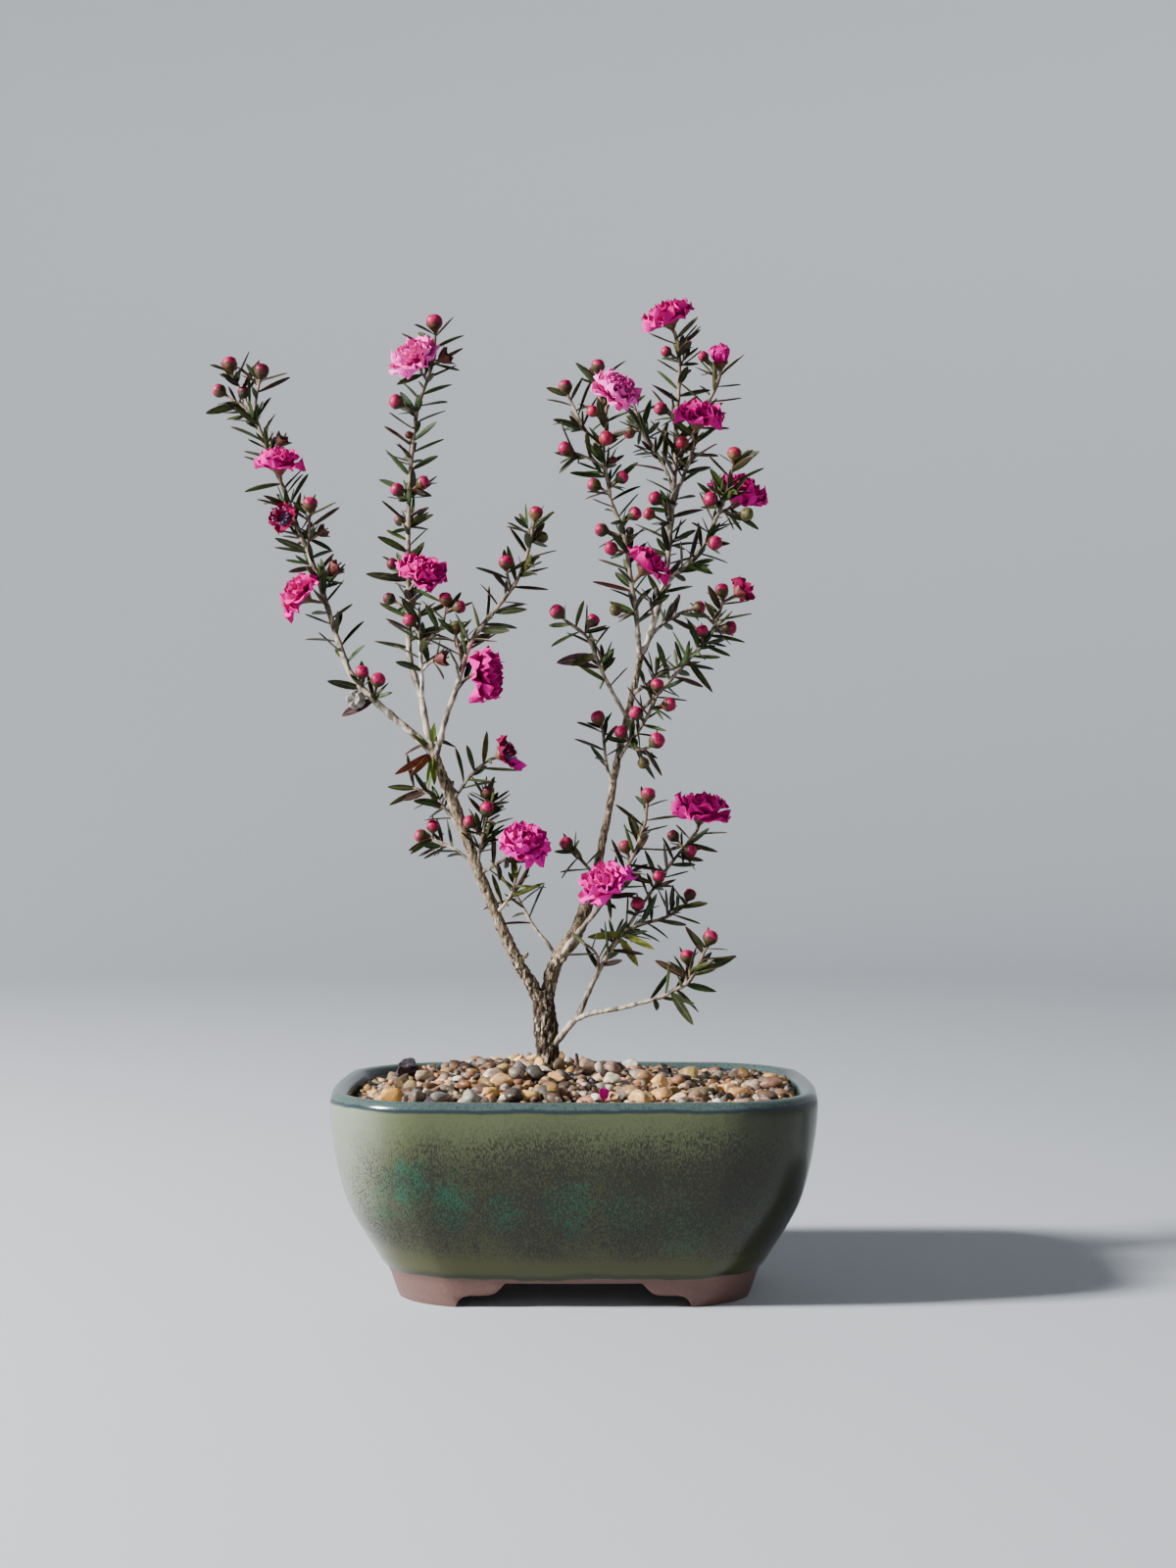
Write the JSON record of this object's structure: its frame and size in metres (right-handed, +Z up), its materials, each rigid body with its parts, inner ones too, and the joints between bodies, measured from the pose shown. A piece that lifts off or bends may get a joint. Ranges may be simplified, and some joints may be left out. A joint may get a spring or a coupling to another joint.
{
  "type": "flowering bonsai tree in a pot",
  "caption": "Small two-legged tea tree bonsai with double pink blooms, round buds and narrow leaves, in a footed glazed rectangular pot with gravel.",
  "frame": {"origin": "middle of the whole object's box, on the surface that the pot's feet stand on", "axes": "+Z up, +X to the right and -Y to the front as the plant is shown"},
  "size_m": [0.1932, 0.116, 0.3135],
  "materials": {
    "glaze": "mottled green-grey glaze with dark speckles over pinkish unglazed clay feet",
    "screen": "black moulded mesh",
    "soil": "damp crumbly bark and peat potting mix",
    "gravel": "rounded river gravel in tan, cream, brown, pink and grey",
    "bark": "flaking grey-brown bark, darker at the base",
    "foliage": "small stiff dark green leaves flushed burgundy, on pale thin bark, with crimson buds",
    "petal": "thin satiny magenta petals, pale pink at their lit edges",
    "spent_petal": "shrivelled dark crimson petals round a nearly black cup"
  },
  "bodies": {
    "root": {"pot": "glaze", "drain_screen_left": "screen", "drain_screen_right": "screen", "soil": "soil", "gravel": "gravel", "trunk": "bark", "far_left_stem": "foliage", "tall_left_stem": "foliage", "short_left_stem": "foliage", "inner_left_stem": "foliage", "left_spent_twig": "foliage", "left_bud_twig": "foliage", "left_outer_twig": "foliage", "left_bloom_twig": "foliage", "left_side_twig": "foliage", "bare_twig": "foliage", "green_shoot": "foliage", "right_bud_twig": "foliage", "twin_stem": "foliage", "lower_right_stem": "foliage", "low_stem": "foliage", "right_shoot": "foliage", "left_going_stem": "foliage", "bud_cluster_stem": "foliage", "right_tuft_stem": "foliage", "right_stem": "foliage", "inner_top_stem": "foliage", "tall_right_stem": "foliage", "top_left_fork": "foliage", "top_right_fork": "foliage", "right_short_stem": "foliage", "outer_right_stem": "foliage", "bloom_01": "petal", "bloom_02": "petal", "bloom_03": "spent_petal", "bloom_04": "petal", "bloom_05": "petal", "bloom_06": "petal", "bloom_07": "spent_petal", "bloom_08": "petal", "bloom_09": "petal", "bloom_10": "petal", "bloom_11": "petal", "bloom_12": "petal", "bloom_13": "petal", "bloom_14": "petal", "bloom_15": "spent_petal", "bloom_16": "petal", "bloom_17": "petal", "seed_capsule": "bark"}
  },
  "joints": []
}
